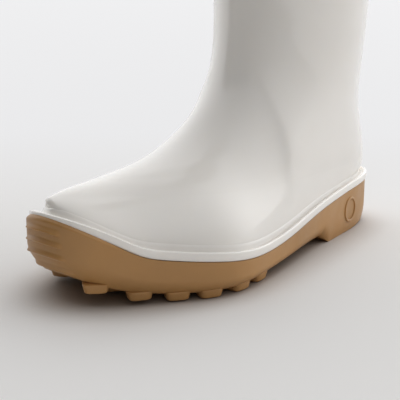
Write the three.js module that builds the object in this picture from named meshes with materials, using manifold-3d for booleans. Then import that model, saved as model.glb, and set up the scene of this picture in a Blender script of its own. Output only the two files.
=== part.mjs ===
// A left rubber boot, moulded in glossy white with a tan studded sole.
// Millimetres, +Z up, toe towards -Y, outer side of the foot towards +X.
// The origin lies on the floor, under the middle of the boot's bounding box.

import * as THREE from 'three';
import { mergeVertices } from 'three/addons/utils/BufferGeometryUtils.js';
import Module from 'manifold-3d';

const wasm = await Module();
wasm.setup();

// Sizes of the foot and the leg
const soleLength = 300;
const ballWidth = 119;
const instepHeight = 150;
const bootHeight = 370;
const collarDepth = 150;
const collarWidth = 121;

// Upper
const wallThickness = 2.6;
const hemHeight = 13;
const hemProud = 1.3;
const kickLedgeProud = 2.0;
const kickLedgeHeight = 12;
const kickLedgeWidth = 34;

// Sole
const soleHeight = 34;
const edgeThickness = 3.8;
const toeGuardThickness = 9.3;
const edgeRounding = 5;
const edgeRoundingReach = 0.45;
const edgeRoundingPower = 2.2;
const toeRoundingShare = 1.6;
const heelRoundingShare = 0.25;
const heelLength = 93;
const heelBreastSlope = 9;
const heelBevel = 3.4;
const heelBevelStart = 0.45;
const heelBevelPower = 1.5;
const heelGrooveDepth = 3;
const heelGrooveWidth = 4;
const heelGroovePitch = 17;
const heelGroovedShare = 0.62;

// Toe guard ribs
const ribCount = 4;
const ribProud = 0.9;
const ribReach = 19;
const ribNarrowing = 5;
const ribPlace = 0.25;
const ribMargin = 0.35;
const ribUnder = 0.2;
const ribOver = 0.35;
const ribFade = 4;

// Studs under the forefoot
const studDepth = 4.4;
const studLength = 14;
const studWidth = 12;
const studPitch = 21.4;
const studTaper = 1.6;
const studRoot = 2;
const studInset = 5;

// Studs along both edges of the forefoot: distance from the tip of the toe in steps of the pitch
const edgeStuds = [
  { outer: 1.12, inner: 2.02 },
  { outer: 2.26, inner: 3.00 },
  { outer: 3.29, inner: 3.98 },
  { outer: 4.20, inner: 4.96 },
  { outer: 5.19, inner: 5.94 },
  { outer: 6.17, inner: 6.92 },
];
const innerStuds = 5;
const innerStudStart = 0.75;
const centreStuds = 4;
const centreStudStart = 2.4;

// Band around the sole edge
const bandHeight = 5.8;
const bandProud = 0.8;
const bandToeDrop = 0.5;
const bandToeReach = 22;

// Insole, moulded ring on the heel, and the clearance between pieces
const insoleThickness = 3;
const ringDiameter = 19;
const ringThickness = 2;
const ringProud = 0.8;
const ringPlace = 0.47;
const ringLift = 1;
const clearance = 0.3;

// How finely the curved pieces are cut
const lowestLevel = 0.07;
const walkStep = 0.0005;
const stations = 26;
const upperRows = 24;

// Plan of the sole before its ends are rounded: shares of the sole length and of the ball width
const soleOutline = [
  { along: 0.00, centre: -0.030, half: 0.450 },
  { along: 0.05, centre: -0.013, half: 0.395 },
  { along: 0.10, centre: -0.008, half: 0.402 },
  { along: 0.15, centre: 0.003, half: 0.422 },
  { along: 0.20, centre: 0.022, half: 0.458 },
  { along: 0.28, centre: 0.069, half: 0.495 },
  { along: 0.39, centre: 0.077, half: 0.474 },
  { along: 0.53, centre: 0.073, half: 0.406 },
  { along: 0.65, centre: 0.056, half: 0.353 },
  { along: 0.78, centre: 0.019, half: 0.330 },
  { along: 0.89, centre: -0.002, half: 0.314 },
  { along: 0.94, centre: 0.000, half: 0.320 },
  { along: 1.00, centre: 0.000, half: 0.370 },
];
const toeZone = 0.28;
const heelZone = 0.17;
const endPower = 2.5;

// Side view of the sole: how far its underside rises, its inner floor and its top edge,
// as shares of the sole height
const soleSide = [
  { along: 0.000, rise: 0.535, floor: 0.960, top: 1.545 },
  { along: 0.035, rise: 0.395, floor: 0.790, top: 1.350 },
  { along: 0.080, rise: 0.215, floor: 0.610, top: 1.090 },
  { along: 0.120, rise: 0.105, floor: 0.480, top: 0.880 },
  { along: 0.160, rise: 0.045, floor: 0.410, top: 0.780 },
  { along: 0.250, rise: 0.000, floor: 0.350, top: 0.670 },
  { along: 0.380, rise: 0.000, floor: 0.340, top: 0.565 },
  { along: 0.550, rise: 0.035, floor: 0.420, top: 0.655 },
  { along: 0.680, rise: 0.045, floor: 0.500, top: 0.785 },
  { along: 0.820, rise: 0.050, floor: 0.540, top: 0.905 },
  { along: 1.000, rise: 0.050, floor: 0.560, top: 1.010 },
];

// Sections of the foot, from the sole edge up over the vamp. The front end lies on the ridge of
// the vamp and the back end on the heel: shares of the sole length and the instep height.
const footSections = [
  { front: 0.000, frontUp: 0.392, back: 0.000, backUp: 0.270, leg: 0.00, swell: 0.00 },
  { front: 0.002, frontUp: 0.399, back: -0.006, backUp: 0.305, leg: 0.00, swell: 0.04 },
  { front: 0.016, frontUp: 0.409, back: -0.005, backUp: 0.345, leg: 0.00, swell: 0.07 },
  { front: 0.066, frontUp: 0.421, back: -0.001, backUp: 0.395, leg: 0.02, swell: 0.10 },
  { front: 0.134, frontUp: 0.433, back: 0.005, backUp: 0.455, leg: 0.06, swell: 0.12 },
  { front: 0.214, frontUp: 0.460, back: 0.013, backUp: 0.525, leg: 0.14, swell: 0.13 },
  { front: 0.294, frontUp: 0.505, back: 0.022, backUp: 0.605, leg: 0.28, swell: 0.13 },
  { front: 0.374, frontUp: 0.578, back: 0.031, backUp: 0.695, leg: 0.48, swell: 0.12 },
  { front: 0.442, frontUp: 0.690, back: 0.038, backUp: 0.795, leg: 0.72, swell: 0.10 },
  { front: 0.481, frontUp: 0.830, back: 0.042, backUp: 0.895, leg: 0.92, swell: 0.08 },
];
const archPower = 1.7;
const toeArchPower = 1.25;
const ridgeShift = 0.06;
const ankleSlope = 4;
const settleRow = 0.11;
const swellStart = 0.375;

// Sections of the leg, from the ankle to the collar: depth and width are shares of the collar's,
// up runs from the instep height (0) to the top (1), and the back leans by shares of the sole length
const legSections = [
  { up: 0.00, depth: 0.825, wide: 0.800, back: 0.047 },
  { up: 0.12, depth: 0.815, wide: 0.830, back: 0.047 },
  { up: 0.30, depth: 0.845, wide: 0.880, back: 0.041 },
  { up: 0.55, depth: 0.905, wide: 0.935, back: 0.026 },
  { up: 0.80, depth: 0.965, wide: 0.980, back: 0.009 },
  { up: 1.00, depth: 1.000, wide: 1.000, back: 0.000 },
];
const legOffset = 0.025;
const ankleWide = 0.77;

// Natural cubic spline through named columns of rows sorted by one key
function naturalSpline(xs, ys) {
  const n = xs.length;
  const bend = new Array(n).fill(0);
  const work = new Array(n).fill(0);
  for (let i = 1; i < n - 1; i += 1) {
    const share = (xs[i] - xs[i - 1]) / (xs[i + 1] - xs[i - 1]);
    const pivot = share * bend[i - 1] + 2;
    bend[i] = (share - 1) / pivot;
    const jump = (ys[i + 1] - ys[i]) / (xs[i + 1] - xs[i]) - (ys[i] - ys[i - 1]) / (xs[i] - xs[i - 1]);
    work[i] = (6 * jump / (xs[i + 1] - xs[i - 1]) - share * work[i - 1]) / pivot;
  }
  bend[n - 1] = 0;
  for (let i = n - 2; i >= 0; i -= 1) {
    bend[i] = bend[i] * bend[i + 1] + work[i];
  }
  return (x) => {
    let k = 0;
    while (k < n - 2 && x > xs[k + 1]) {
      k += 1;
    }
    const step = xs[k + 1] - xs[k];
    const a = (xs[k + 1] - x) / step;
    const b = (x - xs[k]) / step;
    const curve = ((a ** 3 - a) * bend[k] + (b ** 3 - b) * bend[k + 1]) * step * step / 6;
    return a * ys[k] + b * ys[k + 1] + curve;
  };
}

function columnSpline(rows, key, column) {
  return naturalSpline(rows.map((row) => row[key]), rows.map((row) => row[column]));
}

const mix = (a, b, t) => a + (b - a) * t;
const clamp01 = (t) => Math.min(1, Math.max(0, t));
const smooth = (t) => clamp01(t) ** 2 * (3 - 2 * clamp01(t));

// Plan of the sole
const outlineCentre = columnSpline(soleOutline, 'along', 'centre');
const outlineHalf = columnSpline(soleOutline, 'along', 'half');
const toeY = -soleLength / 2;
const heelY = soleLength / 2;
const upperToeY = toeY + toeGuardThickness;
const upperHeelY = heelY - edgeThickness;

function shareAlong(y) {
  return (y - toeY) / soleLength;
}

function centreAt(y) {
  return ballWidth * outlineCentre(clamp01(shareAlong(y)));
}

function halfAt(y) {
  return ballWidth * outlineHalf(clamp01(shareAlong(y)));
}

// Rounding of a section's ends: distance from the end as a share of the rounded zone
function endRounding(distance, zone) {
  const left = 1 - clamp01(distance / zone);
  return Math.sqrt(1 - left ** endPower);
}

// Point of a sole-like outline whose sides, toe and heel lie inside the sole's by these insets
function outlinePoint(station, side, inset, toeInset, heelInset) {
  const front = toeY + toeInset;
  const back = heelY - heelInset;
  const y = mix(front, back, station);
  const toe = endRounding(y - front, toeZone * soleLength);
  const heel = endRounding(back - y, heelZone * soleLength);
  return new THREE.Vector2(centreAt(y) + side * (halfAt(y) - inset) * toe * heel, y);
}

// Side view of the sole
const sideRise = columnSpline(soleSide, 'along', 'rise');
const sideFloor = columnSpline(soleSide, 'along', 'floor');
const sideTop = columnSpline(soleSide, 'along', 'top');
const breastY = heelY - heelLength;

function forefootUnderside(y) {
  return studDepth + soleHeight * Math.max(0, sideRise(clamp01(shareAlong(y))));
}

function heelUnderside(y) {
  const bevelStart = mix(breastY, heelY, heelBevelStart);
  return heelBevel * clamp01((y - bevelStart) / (heelY - bevelStart)) ** heelBevelPower;
}

function undersideAt(y) {
  const blend = clamp01((y - breastY) / heelBreastSlope);
  return mix(forefootUnderside(y), heelUnderside(y), blend);
}

function floorAt(y) {
  return soleHeight * sideFloor(clamp01(shareAlong(y)));
}

function soleTopAt(y) {
  return soleHeight * sideTop(clamp01(shareAlong(y)));
}

// Stations along the sole, close together at the ends, with one at each side of the heel breast
function stationList() {
  const list = [];
  for (let i = 0; i <= stations; i += 1) {
    list.push((1 - Math.cos(Math.PI * i / stations)) / 2);
  }
  const breast = shareAlong(breastY);
  const slope = heelBreastSlope / soleLength;
  const kept = list.filter((t) => t < breast - slope / 2 || t > breast + slope * 1.5);
  return [...kept, breast, breast + slope].sort((a, b) => a - b);
}

// Wall between two rings of equal length, each square cut along its shorter diagonal
function joinRings(index, points, lower, upper, count) {
  for (let i = 0; i < count; i += 1) {
    const j = (i + 1) % count;
    const [a, b, c, d] = [lower * count + i, lower * count + j, upper * count + j, upper * count + i];
    if (points[a].distanceTo(points[c]) <= points[b].distanceTo(points[d])) {
      index.push(a, b, c, a, c, d);
    } else {
      index.push(a, b, d, b, c, d);
    }
  }
}

// Closed mesh from rings: each ring is a list of points, toe first, down the outer side to the
// heel and back up the inner side. The last ring joins the first one.
function tubeOfRings(rings) {
  const index = [];
  const points = rings.flat();
  for (let r = 0; r < rings.length; r += 1) {
    joinRings(index, points, r, (r + 1) % rings.length, rings[0].length);
  }
  return geometryFrom(points.flatMap((point) => point.toArray()), index);
}

// Closed mesh from rings that ends in a ladder of rungs between the two sides at each end
function cappedRings(rings) {
  const index = [];
  const points = rings.flat();
  const count = rings[0].length;
  for (let r = 0; r < rings.length - 1; r += 1) {
    joinRings(index, points, r, r + 1, count);
  }
  const last = (rings.length - 1) * count;
  for (let i = 0; i < count / 2; i += 1) {
    const a = i;
    const b = i + 1;
    const c = (count - i - 1) % count;
    const d = (count - i) % count;
    pushQuad(index, d, c, b, a);
    pushQuad(index, last + a, last + b, last + c, last + d);
  }
  return geometryFrom(points.flatMap((point) => point.toArray()), index);
}

function pushQuad(index, a, b, c, d) {
  if (a !== b && b !== c && c !== a) {
    index.push(a, b, c);
  }
  if (a !== c && c !== d && d !== a) {
    index.push(a, c, d);
  }
}

function geometryFrom(positions, index) {
  const geometry = new THREE.BufferGeometry();
  geometry.setAttribute('position', new THREE.Float32BufferAttribute(positions, 3));
  geometry.setIndex(index);
  return geometry;
}

// Ring of points of a sole-like outline; height is a function of y
function outlineRing(list, inset, toeInset, heelInset, height, push = () => 0) {
  const ring = [];
  const add = (t, side) => {
    const point = outlinePoint(t, side, inset, toeInset, heelInset);
    const outward = push(point);
    const reach = new THREE.Vector2(point.x - centreAt(point.y), point.y).normalize();
    ring.push(new THREE.Vector3(
      point.x + reach.x * outward,
      point.y + reach.y * outward,
      height(point.y),
    ));
  };
  list.forEach((t) => add(t, 1));
  list.slice(1, -1).reverse().forEach((t) => add(t, -1));
  return ring;
}

// Solids for joining and cutting
function solidFrom(geometry) {
  const bare = geometry.clone();
  bare.deleteAttribute('normal');
  bare.deleteAttribute('uv');
  const merged = mergeVertices(bare, 1e-4);
  const vertProperties = new Float32Array(merged.attributes.position.array);
  const triVerts = new Uint32Array(merged.index.array);
  return new wasm.Manifold(new wasm.Mesh({ numProp: 3, vertProperties, triVerts }));
}

function geometryOf(solid) {
  const mesh = solid.getMesh();
  const positions = [];
  for (let i = 0; i < mesh.vertProperties.length; i += mesh.numProp) {
    positions.push(mesh.vertProperties[i], mesh.vertProperties[i + 1], mesh.vertProperties[i + 2]);
  }
  return geometryFrom(positions, Array.from(mesh.triVerts));
}

// Outsole: a cup with a bowed wall, ribs on the toe guard, studs and a grooved heel
function ribLevel(order) {
  return (order + 1 - ribPlace) / (ribCount + ribMargin);
}

// Levels of the wall, three to a rib: just under its crest, the crest, and where it has run out
function wallLevels() {
  const levels = [0, lowestLevel];
  for (let k = 0; k < ribCount; k += 1) {
    const crest = ribLevel(k);
    levels.push(crest - ribUnder / ribCount, crest, crest + ribOver / ribCount);
  }
  levels.push(1);
  return levels;
}

// How far the toe guard's wall is pushed out at a level, at a point of its plan
function ribPush(level) {
  const crests = Array.from({ length: ribCount }, (_, order) => ribLevel(order));
  const onCrest = crests.some((crest) => Math.abs(crest - level) < 1e-6);
  const reach = ribReach - ribNarrowing * level;
  return (point) => {
    const left = 1 - Math.abs(point.x - centreAt(toeY)) / reach;
    return onCrest && point.y < 0 ? ribProud * smooth(left * ribFade) : 0;
  };
}

// Inset of the wall's rounded lower edge
function roundingAt(level) {
  return edgeRounding * (1 - clamp01(level / edgeRoundingReach)) ** edgeRoundingPower;
}

function outsoleCup() {
  const list = stationList();
  return wallLevels().map((level) => {
    const height = (y) => mix(undersideAt(y), soleTopAt(y), level);
    const inset = roundingAt(level);
    return outlineRing(
      list, inset, inset * toeRoundingShare, inset * heelRoundingShare, height, ribPush(level));
  });
}

function cavityRings() {
  const list = stationList();
  const side = edgeThickness - clearance;
  const toe = toeGuardThickness - clearance;
  const top = outlineRing(list, side, toe, side, soleTopAt);
  const bottom = outlineRing(list, side, toe, side, floorAt);
  return [top, bottom];
}

function buildOutsole() {
  let body = solidFrom(cappedRings([...outsoleCup(), ...cavityRings()]));
  studPlaces().forEach((place) => {
    body = body.add(solidFrom(studGeometry(place)));
  });
  heelGrooves().forEach((groove) => {
    body = body.subtract(solidFrom(groove));
  });
  body = body.add(solidFrom(heelRing()));
  return geometryOf(body);
}

// Studs follow both edges of the forefoot, with a second row inside them and one on the centre
function studPlaces() {
  const places = [];
  const inset = edgeRounding + studInset;
  edgeStuds.forEach(({ outer, inner }) => {
    places.push(edgePlace(outer * studPitch, 1, inset));
    places.push(edgePlace(inner * studPitch, -1, inset));
  });
  for (let k = 0; k < innerStuds; k += 1) {
    const distance = (k + innerStudStart) * studPitch;
    places.push(edgePlace(distance, 1, inset + studPitch));
    places.push(edgePlace(distance, -1, inset + studPitch));
  }
  for (let k = 0; k < centreStuds; k += 1) {
    const y = toeY + inset + studPitch * (k + centreStudStart);
    places.push({ x: centreAt(y), y, turn: 0 });
  }
  return places;
}

// Place on an inset outline at a distance from its tip, turned to follow it
function edgePlace(distance, side, inset) {
  let walked = 0;
  let station = 0;
  let here = outlinePoint(0, side, inset, inset, inset);
  while (walked < distance) {
    station += walkStep;
    const next = outlinePoint(station, side, inset, inset, inset);
    walked += next.distanceTo(here);
    here = next;
  }
  const ahead = outlinePoint(station + walkStep * 8, side, inset, inset, inset);
  return { x: here.x, y: here.y, turn: Math.atan2(ahead.x - here.x, ahead.y - here.y) };
}

function studGeometry({ x, y, turn }) {
  const geometry = new THREE.BoxGeometry(studWidth, studLength, studDepth + studRoot);
  const position = geometry.attributes.position;
  for (let i = 0; i < position.count; i += 1) {
    if (position.getZ(i) < 0) {
      position.setX(i, position.getX(i) - Math.sign(position.getX(i)) * studTaper);
      position.setY(i, position.getY(i) - Math.sign(position.getY(i)) * studTaper);
    }
  }
  geometry.rotateZ(-turn);
  geometry.translate(x, y, 0);
  for (let i = 0; i < position.count; i += 1) {
    const foot = forefootUnderside(position.getY(i));
    position.setZ(i, position.getZ(i) < 0 ? foot - studDepth : foot + studRoot);
  }
  return geometry;
}

// Grooves across the tread of the heel
function heelGrooves() {
  const grooves = [];
  const count = Math.max(1, Math.floor((heelLength * heelGroovedShare) / heelGroovePitch));
  for (let k = 1; k <= count; k += 1) {
    const y = breastY + heelBreastSlope + k * heelGroovePitch - heelGrooveWidth;
    const box = new THREE.BoxGeometry(ballWidth, heelGrooveWidth, heelGrooveDepth * 2);
    box.translate(0, y, 0);
    grooves.push(box);
  }
  return grooves;
}

// Plain raised ring on the outer side of the heel
function heelRing() {
  const outer = new THREE.Shape().absarc(0, 0, ringDiameter / 2, 0, Math.PI * 2);
  const hole = new THREE.Path().absarc(0, 0, ringDiameter / 2 - ringThickness, 0, Math.PI * 2, true);
  outer.holes.push(hole);
  const depth = ringProud + edgeThickness / 2;
  const ring = new THREE.ExtrudeGeometry(outer, { depth, bevelEnabled: false, curveSegments: 24 });
  const y = mix(breastY, heelY, ringPlace);
  const station = shareAlong(y);
  const here = outlinePoint(station, 1, 0, 0, 0);
  const ahead = outlinePoint(station + 0.01, 1, 0, 0, 0);
  const turn = Math.atan2(ahead.x - here.x, ahead.y - here.y);
  ring.translate(0, 0, -edgeThickness / 2);
  ring.rotateY(Math.PI / 2);
  ring.rotateZ(-turn);
  ring.translate(here.x, here.y, (heelUnderside(y) + soleTopAt(y)) / 2 + ringLift);
  return ring;
}

// Band: a ring of constant section that rides on the sole's edge, rounded at its outer top
function buildBand() {
  const list = stationList();
  const side = edgeThickness - clearance;
  const toe = toeGuardThickness - clearance;
  const section = [
    { out: 0, up: 0 },
    { out: 1, up: 0 },
    { out: 1, up: 0.12, proud: 0.8 },
    { out: 1, up: 0.35, proud: 1 },
    { out: 1, up: 0.78, proud: 1 },
    { out: 0.86, up: 0.97, proud: 0.5 },
    { out: 0, up: 1 },
  ];
  const rings = section.map(({ out, up, proud = 0 }) => {
    const height = (y) => {
      const drop = bandToeDrop * out * clamp01(1 - (y - toeY) / bandToeReach) ** 2;
      return soleTopAt(y) + clearance + bandHeight * up * (1 - drop);
    };
    const push = -bandProud * proud;
    return outlineRing(list, mix(side, push, out), mix(toe, push, out), mix(side, push, out), height);
  });
  return tubeOfRings(rings);
}

// Upper: rows of the two tables in millimetres
function footRow({ front, frontUp, back, backUp, leg, swell }) {
  return {
    frontY: upperToeY + soleLength * front,
    frontZ: instepHeight * frontUp,
    backY: upperHeelY - soleLength * back,
    backZ: instepHeight * backUp,
    leg,
    swell,
    legHalf: collarWidth / 2 * ankleWide,
  };
}

function legRow({ up, depth, wide, back }) {
  const backY = upperHeelY - soleLength * back;
  const z = mix(instepHeight, bootHeight, up);
  return {
    frontY: backY - collarDepth * depth,
    frontZ: z,
    backY,
    backZ: z,
    leg: 1,
    swell: 0,
    legHalf: collarWidth / 2 * wide,
  };
}

const upperTable = [...footSections.map(footRow), ...legSections.map(legRow)]
  .map((row, order) => ({ ...row, order: order / (footSections.length + legSections.length - 1) }));
const upperColumns = {};
['frontY', 'frontZ', 'backY', 'backZ', 'leg', 'swell', 'legHalf'].forEach((column) => {
  upperColumns[column] = columnSpline(upperTable, 'order', column);
});

// Ridge of the vamp as heights along the sole, up to the front of the ankle
const ankleRow = footSections.length / (upperTable.length - 1);
const ridgeSteps = 400;
const ridge = [];
for (let k = 0; k <= ridgeSteps; k += 1) {
  const row = ankleRow * k / ridgeSteps;
  ridge.push({ y: upperColumns.frontY(row), z: upperColumns.frontZ(row) });
}

function ridgeAt(y) {
  const last = ridge[ridge.length - 1];
  if (y >= last.y) {
    return last.z + ankleSlope * (y - last.y);
  }
  let low = 0;
  let high = ridge.length - 1;
  while (high - low > 1) {
    const middle = Math.floor((low + high) / 2);
    if (ridge[middle].y > y) {
      high = middle;
    } else {
      low = middle;
    }
  }
  const share = (y - ridge[low].y) / (ridge[high].y - ridge[low].y);
  return mix(ridge[low].z, ridge[high].z, clamp01(share));
}

// Small ledge across the back of the heel, for pushing the boot off
function kickLedge(x, y, z) {
  const across = clamp01(1 - (2 * x / kickLedgeWidth) ** 2);
  const base = featherAt(heelY) + bandHeight / 4;
  const rise = smooth((z - base) / kickLedgeHeight);
  const fall = smooth((z - base - kickLedgeHeight) / (kickLedgeHeight / 3));
  return y > 0 ? kickLedgeProud * across * (rise - fall) : 0;
}

function featherAt(y) {
  return soleTopAt(y) + clearance + bandHeight;
}

// Outer surface of the upper: row 0 is the sole edge and 1 the collar; station 0 is the front
function upperPoint(row, station, side) {
  const at = (column) => upperColumns[column](row);
  const frontY = at('frontY');
  const backY = at('backY');
  const y = mix(frontY, backY, station);
  const plane = mix(at('frontZ'), at('backZ'), station);
  const settle = clamp01(1 - row / settleRow) ** 2;
  const z = mix(plane, featherAt(y), settle);
  const room = ridgeAt(y) - featherAt(y);
  const below = (ridgeAt(y) - z) - (ridgeAt(frontY) - at('frontZ'));
  const lift = room > 1e-6 ? clamp01(1 - below / room) : 0;
  const raised = mix(lift, 0, settle);
  const power = mix(toeArchPower, archPower, smooth(shareAlong(y) / toeZone));
  const arch = Math.sqrt(Math.max(0, 1 - raised ** power));
  const heelEnd = endRounding(backY - y, heelZone * soleLength);
  const toeEnd = endRounding(y - upperToeY, toeZone * soleLength);
  const swell = 1 + at('swell') * smooth((shareAlong(y) - swellStart) / (1 - swellStart));
  const foot = (halfAt(y) - edgeThickness) * toeEnd * heelEnd * arch * swell;
  const around = 2 * Math.sqrt(station * (1 - station));
  const leg = clamp01(at('leg'));
  const half = mix(foot, at('legHalf') * around, leg);
  const shifted = centreAt(y) - ballWidth * ridgeShift * raised ** 2;
  const centre = mix(shifted, ballWidth * legOffset, smooth(leg));
  return new THREE.Vector3(centre + side * half, y + kickLedge(side * half, y, z), z);
}

function upperNormal(row, station, side) {
  const e = 1e-3;
  const s = Math.min(1 - 2e-3, Math.max(2e-3, station));
  const r = Math.min(1 - e, Math.max(e, row));
  const along = upperPoint(r, s + e, side).sub(upperPoint(r, s - e, side));
  const up = upperPoint(r + e, s, side).sub(upperPoint(r - e, s, side));
  const normal = along.cross(up).multiplyScalar(side).normalize();
  if (station < 2e-3 || station > 1 - 2e-3) {
    normal.x = 0;
    normal.normalize();
  }
  return normal;
}

function upperRing(row, offset) {
  const ring = [];
  const list = stationList();
  const add = (t, side) => {
    ring.push(upperPoint(row, t, side).addScaledVector(upperNormal(row, t, side), offset));
  };
  list.forEach((t) => add(t, 1));
  list.slice(1, -1).reverse().forEach((t) => add(t, -1));
  return ring;
}

function skirtRing(inset) {
  const side = edgeThickness + inset;
  const toe = toeGuardThickness + inset;
  return outlineRing(stationList(), side, toe, side, (y) => floorAt(y) + clearance);
}

// Row of the leg at a height
function rowAtHeight(z) {
  let low = ankleRow;
  let high = 1;
  for (let k = 0; k < 40; k += 1) {
    const middle = (low + high) / 2;
    if (upperColumns.frontZ(middle) > z) {
      high = middle;
    } else {
      low = middle;
    }
  }
  return low;
}

function outerRings() {
  const hemRow = rowAtHeight(bootHeight - hemHeight);
  const rings = [];
  for (let k = 0; k < upperRows; k += 1) {
    rings.push(upperRing(hemRow * k / (upperRows - 1), 0));
  }
  const hemLevels = [
    { down: hemHeight - hemProud, proud: 1 },
    { down: hemProud, proud: 1 },
    { down: 0, proud: 0.3 },
  ];
  hemLevels.forEach(({ down, proud }) => {
    rings.push(upperRing(rowAtHeight(bootHeight - down), hemProud * proud));
  });
  return rings;
}

function buildUpper() {
  const inner = [];
  for (let k = upperRows; k >= 0; k -= 1) {
    inner.push(upperRing(k / upperRows, -wallThickness));
  }
  return tubeOfRings([skirtRing(0), ...outerRings(), ...inner, skirtRing(wallThickness)]);
}

// Insole: a sheet on the sole's floor, inside the upper
function buildInsole() {
  const list = stationList();
  const side = edgeThickness + wallThickness + clearance;
  const toe = toeGuardThickness + wallThickness + clearance;
  const under = outlineRing(list, side, toe, side, (y) => floorAt(y) + clearance);
  const over = outlineRing(list, side, toe, side, (y) => floorAt(y) + clearance + insoleThickness);
  return cappedRings([under, over]);
}

function piece(name, geometry, color, roughness) {
  const material = new THREE.MeshStandardMaterial({ color, roughness, metalness: 0 });
  const mesh = new THREE.Mesh(geometry, material);
  mesh.name = name;
  return mesh;
}

const white = new THREE.Color(0.86, 0.85, 0.83);
const tan = new THREE.Color(0.55, 0.36, 0.18);
const grey = new THREE.Color(0.45, 0.44, 0.42);

const boot = new THREE.Group();
boot.add(piece('outsole', buildOutsole(), tan, 0.5));
boot.add(piece('sole_band', buildBand(), white, 0.2));
boot.add(piece('upper', buildUpper(), white, 0.15));
boot.add(piece('insole', buildInsole(), grey, 0.9));

const box = new THREE.Box3().setFromObject(boot);
boot.position.set(-(box.min.x + box.max.x) / 2, -(box.min.y + box.max.y) / 2, -box.min.z);

export default boot;
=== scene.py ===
import math

import bpy
import numpy as np
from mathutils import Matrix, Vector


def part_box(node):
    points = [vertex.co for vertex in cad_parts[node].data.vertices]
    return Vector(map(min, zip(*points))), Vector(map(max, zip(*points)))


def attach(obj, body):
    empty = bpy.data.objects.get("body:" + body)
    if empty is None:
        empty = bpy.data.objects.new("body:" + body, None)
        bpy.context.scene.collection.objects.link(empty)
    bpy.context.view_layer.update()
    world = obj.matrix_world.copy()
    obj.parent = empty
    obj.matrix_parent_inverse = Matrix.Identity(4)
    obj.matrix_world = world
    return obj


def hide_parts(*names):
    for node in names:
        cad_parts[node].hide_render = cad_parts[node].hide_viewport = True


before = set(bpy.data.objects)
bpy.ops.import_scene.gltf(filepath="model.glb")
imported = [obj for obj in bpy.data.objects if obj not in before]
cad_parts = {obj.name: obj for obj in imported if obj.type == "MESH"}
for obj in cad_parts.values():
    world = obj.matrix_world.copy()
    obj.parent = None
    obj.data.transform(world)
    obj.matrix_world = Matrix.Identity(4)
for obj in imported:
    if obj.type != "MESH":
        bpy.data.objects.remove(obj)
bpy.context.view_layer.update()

bl_info = {
    "name": "Rubber boot",
    "version": (1, 0, 0),
    "blender": (4, 5, 0),
    "location": "View3D > Sidebar > Boot",
    "description": "Builds the moulded boot around its packed frame",
    "category": "Object",
}

MM = 0.001

# Plan of the sole before its ends are rounded: shares of the sole length and of the ball width
SOLE_OUTLINE = {
    "along": (0.00, 0.05, 0.10, 0.15, 0.20, 0.28, 0.39, 0.53, 0.65, 0.78, 0.89, 0.94, 1.00),
    "centre": (
        -0.030, -0.013, -0.008, 0.003, 0.022, 0.069, 0.077, 0.073, 0.056, 0.019, -0.002, 0.0, 0.0),
    "half": (
        0.450, 0.395, 0.402, 0.422, 0.458, 0.495, 0.474, 0.406, 0.353, 0.330, 0.314, 0.320, 0.370),
}
TOE_ZONE = 0.28
HEEL_ZONE = 0.17
END_POWER = 2.5

# Side view of the sole: rise of the underside, inner floor and top edge, as shares of its height
SOLE_SIDE = {
    "along": (0.0, 0.035, 0.08, 0.12, 0.16, 0.25, 0.38, 0.55, 0.68, 0.82, 1.0),
    "rise": (0.535, 0.395, 0.215, 0.105, 0.045, 0.0, 0.0, 0.035, 0.045, 0.05, 0.05),
    "floor": (0.96, 0.79, 0.61, 0.48, 0.41, 0.35, 0.34, 0.42, 0.50, 0.54, 0.56),
    "top": (1.545, 1.35, 1.09, 0.88, 0.78, 0.67, 0.565, 0.655, 0.785, 0.905, 1.01),
}

# Sections of the foot: ends as shares of the sole length, heights as shares of the instep height
FOOT_SECTIONS = {
    "front": (0.0, 0.004, 0.020, 0.067, 0.134, 0.214, 0.294, 0.374, 0.442, 0.481),
    "front_up": (0.392, 0.397, 0.405, 0.420, 0.433, 0.460, 0.505, 0.578, 0.690, 0.830),
    "back": (0.0, -0.006, -0.005, -0.001, 0.005, 0.013, 0.022, 0.031, 0.038, 0.042),
    "back_up": (0.270, 0.305, 0.345, 0.395, 0.455, 0.525, 0.605, 0.695, 0.795, 0.895),
    "leg": (0.0, 0.0, 0.0, 0.02, 0.06, 0.14, 0.28, 0.48, 0.72, 0.92),
    "swell": (0.0, 0.04, 0.07, 0.10, 0.12, 0.13, 0.13, 0.12, 0.10, 0.08),
}

# Sections of the leg: depth and width as shares of the collar's, up from instep (0) to top (1)
LEG_SECTIONS = {
    "up": (0.0, 0.12, 0.30, 0.55, 0.80, 1.0),
    "depth": (0.825, 0.815, 0.845, 0.905, 0.965, 1.0),
    "wide": (0.80, 0.83, 0.88, 0.935, 0.98, 1.0),
    "back": (0.047, 0.047, 0.041, 0.026, 0.009, 0.0),
}
ANKLE_WIDE = 0.77
LEG_OFFSET = 0.025
ARCH_POWER = 1.7
TOE_ARCH_POWER = 1.1
SETTLE_ROW = 0.11
SWELL_START = 0.375
RIDGE_SHIFT = 0.06
UPRIGHT_FOOT = 0.25
ANKLE_SLOPE = 4.0
HEEL_BEVEL_START = 0.45
HEEL_BEVEL_POWER = 1.5
KICK_BASE_PART = 4
KICK_FALL_PART = 3
WHITE = "glossy_white"
TAN = "tan_rubber"
BLACK = (0.0, 0.0, 0.0, 1.0)

# Studs along both edges of the forefoot, in steps of the pitch from the toe tip
EDGE_STUDS = {
    "outer": (1.12, 2.26, 3.29, 4.20, 5.19, 6.17),
    "inner": (2.02, 3.00, 3.98, 4.96, 5.94, 6.92),
}
INNER_STUDS = 5
INNER_STUD_START = 0.75
CENTRE_STUDS = 4
CENTRE_STUD_START = 2.4

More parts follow.
